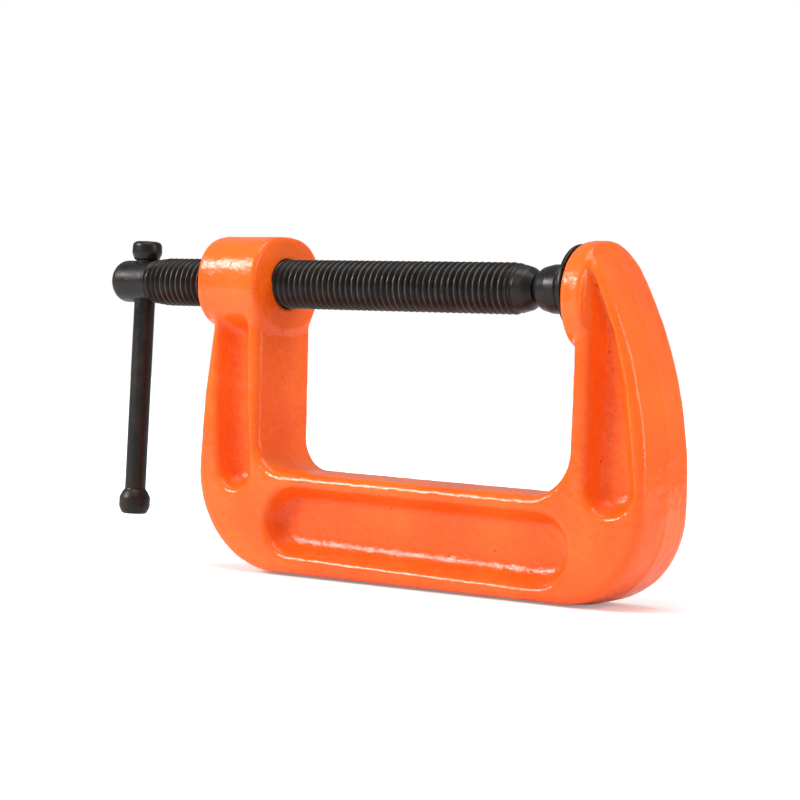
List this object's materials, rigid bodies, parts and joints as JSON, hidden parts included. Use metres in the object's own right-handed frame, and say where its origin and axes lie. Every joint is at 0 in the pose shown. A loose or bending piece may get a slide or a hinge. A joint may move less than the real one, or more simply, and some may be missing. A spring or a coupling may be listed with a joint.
{
  "type": "c clamp",
  "caption": "Cast C clamp with a right-hand screw, a swivel pad on the screw's ball and a sliding handle bar.",
  "frame": {"origin": "centre of the anvil's flat face, on the screw's axis", "axes": "X along the screw away from the handle, Y across the frame's thickness, Z from the spine towards the screw"},
  "size_m": [0.2177, 0.0344, 0.1081],
  "materials": {
    "enamel": "thick glossy orange enamel over a rough casting",
    "black_steel": "black oxide with worn thread crests",
    "black_pad": "black oxide, turned and oiled",
    "black_bar": "black oxide with brown rust tints"
  },
  "bodies": {
    "casting": {"frame": "enamel"},
    "tip": {"screw_tip": "black_steel"},
    "spindle": {"screw": "black_steel"},
    "pad": {"swivel_pad": "black_pad"},
    "bar": {"handle_bar": "black_bar"}
  },
  "joints": [
    {"name": "screw_travel", "type": "slide", "parent": "casting", "child": "tip", "axis": [-1, 0, 0], "range_m": [-0.00058, 0.09699]},
    {"name": "screw_turn", "type": "hinge", "parent": "tip", "child": "spindle", "pos_m": [-0.1, 0, 0], "axis": [-1, 0, 0], "range_deg": [-90, 15120]},
    {"name": "pad_swivel", "type": "hinge", "parent": "tip", "child": "pad", "pos_m": [-0.0114, 0, 0], "axis": [0, 1, 0], "range_deg": [-5, 5]},
    {"name": "bar_slide", "type": "slide", "parent": "spindle", "child": "bar", "axis": [0, 0.0209, 0.9998], "range_m": [0, 0.0623]}
  ],
  "couplings": [
    {"joint": "screw_travel", "follows": "screw_turn", "m_per_rad": 0.00036749}
  ]
}
